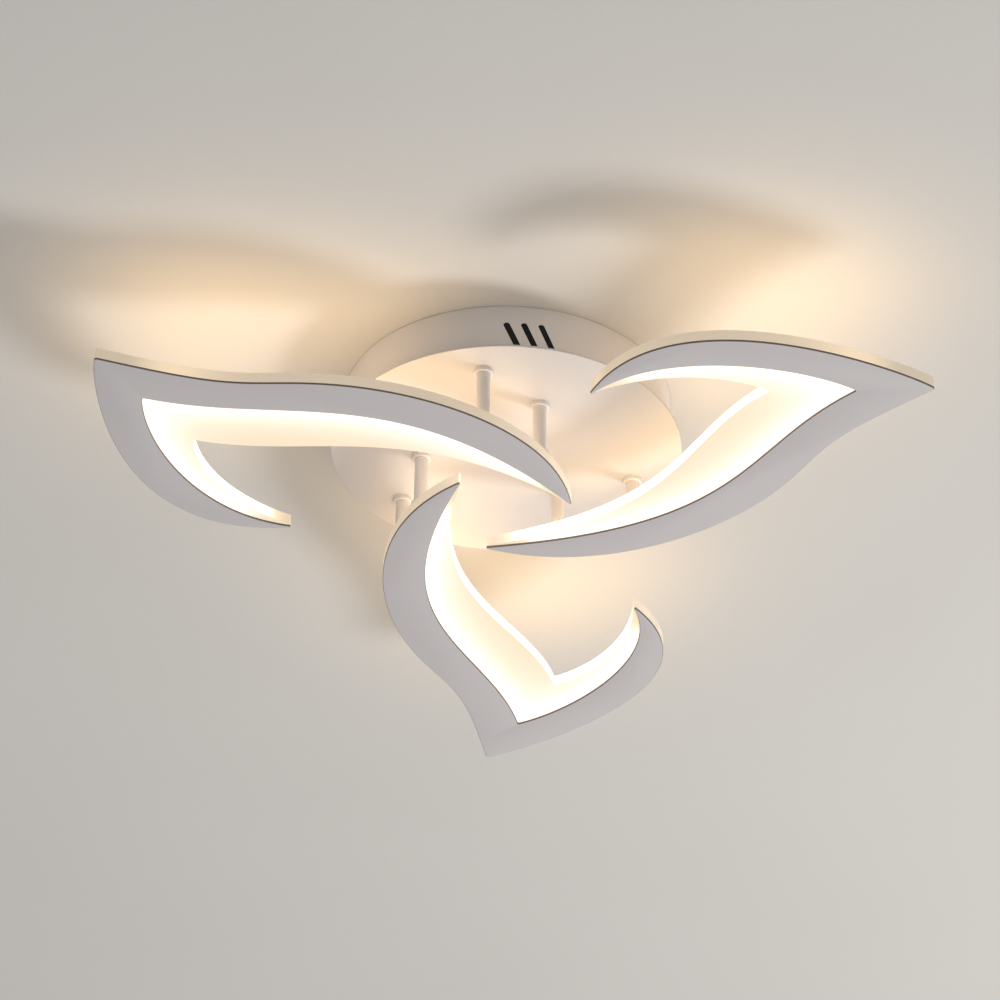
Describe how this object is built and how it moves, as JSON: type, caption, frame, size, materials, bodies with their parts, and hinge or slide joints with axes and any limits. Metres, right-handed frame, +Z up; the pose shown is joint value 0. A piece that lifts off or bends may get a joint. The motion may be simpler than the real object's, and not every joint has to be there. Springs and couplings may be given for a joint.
{
  "type": "flush mount ceiling light",
  "caption": "Flush ceiling light: round canopy with slanted vents, carrying flat flame-shaped petals on short posts, each a white plate under an opal light guide.",
  "frame": {"origin": "centre of the canopy and of the ceiling bracket's two slots, on the ceiling plane", "axes": "+Z up into the ceiling, -Y towards the first group of vents, the bracket along X"},
  "size_m": [0.4984, 0.4845, 0.0825],
  "materials": {
    "board_green": "solder mask",
    "brass": "bright",
    "cable_white": "soft sheath",
    "capacitor_sleeve": "shrink sleeve",
    "case_plastic": "fine texture",
    "ferrite": "ferrite and tape",
    "lead_blue": "insulation",
    "lead_brown": "insulation",
    "lead_earth": "green insulation with yellow stripe",
    "led_phosphor": "yellow phosphor gel",
    "nipple_steel": "yellow zinc plate",
    "nylon": "natural nylon",
    "opal_acrylic": "opal acrylic, polished edges",
    "screw_nickel": "satin nickel plate",
    "strip_white": "white flexible circuit",
    "tinned_copper": "tinned",
    "white_paint": "satin white powder coat",
    "zinc_steel": "bright zinc plate"
  },
  "bodies": {
    "lamp": {"bracket_earth_screw": "zinc_steel", "canopy_disc": "white_paint", "canopy_drum": "white_paint", "ceiling_bracket": "zinc_steel", "diffuser_1": "opal_acrylic", "diffuser_2": "opal_acrylic", "diffuser_3": "opal_acrylic", "disc_studs": "zinc_steel", "driver_board": "board_green", "driver_capacitors": "capacitor_sleeve", "driver_case": "case_plastic", "driver_choke": "ferrite", "driver_lid": "case_plastic", "driver_sockets": "nylon", "driver_transformer": "ferrite", "earth_lead": "lead_earth", "earth_nut": "zinc_steel", "earth_ring": "tinned_copper", "face_plate_1": "white_paint", "face_plate_2": "white_paint", "face_plate_3": "white_paint", "led_chips_1": "led_phosphor", "led_chips_2": "led_phosphor", "led_chips_3": "led_phosphor", "led_strip_1": "strip_white", "led_strip_2": "strip_white", "led_strip_3": "strip_white", "live_lead": "lead_brown", "neutral_lead": "lead_blue", "petal_cable_1": "cable_white", "petal_cable_2": "cable_white", "petal_cable_3": "cable_white", "petal_plugs": "nylon", "plate_bosses_1": "zinc_steel", "plate_bosses_2": "zinc_steel", "plate_bosses_3": "zinc_steel", "post_collars": "white_paint", "post_lock_washers": "zinc_steel", "post_nipples": "nipple_steel", "post_nuts": "zinc_steel", "post_tube_inner_1": "white_paint", "post_tube_inner_2": "white_paint", "post_tube_inner_3": "white_paint", "post_tube_outer_1": "white_paint", "post_tube_outer_2": "white_paint", "post_tube_outer_3": "white_paint", "stud_nuts": "zinc_steel", "terminal_block": "nylon", "terminal_screws": "zinc_steel", "terminal_sleeves": "brass"},
    "right_washer": {"screw_washer_right": "screw_nickel"},
    "right_screw": {"side_screw_right": "screw_nickel"},
    "left_washer": {"screw_washer_left": "screw_nickel"},
    "left_screw": {"side_screw_left": "screw_nickel"}
  },
  "joints": [
    {"name": "right_screw_travel", "type": "slide", "parent": "lamp", "child": "right_washer", "axis": [1, 0, 0], "range_m": [0, 0.007]},
    {"name": "right_screw_turn", "type": "hinge", "parent": "right_washer", "child": "right_screw", "pos_m": [0.104, 0, -0.017], "axis": [1, 0, 0], "range_deg": [0, 3600]},
    {"name": "left_screw_travel", "type": "slide", "parent": "lamp", "child": "left_washer", "axis": [-1, 0, 0], "range_m": [0, 0.007]},
    {"name": "left_screw_turn", "type": "hinge", "parent": "left_washer", "child": "left_screw", "pos_m": [-0.104, 0, -0.017], "axis": [-1, 0, 0], "range_deg": [0, 3600]}
  ],
  "couplings": [
    {"joint": "right_screw_turn", "follows": "right_screw_travel", "rad_per_m": 8976},
    {"joint": "left_screw_turn", "follows": "left_screw_travel", "rad_per_m": 8976}
  ]
}
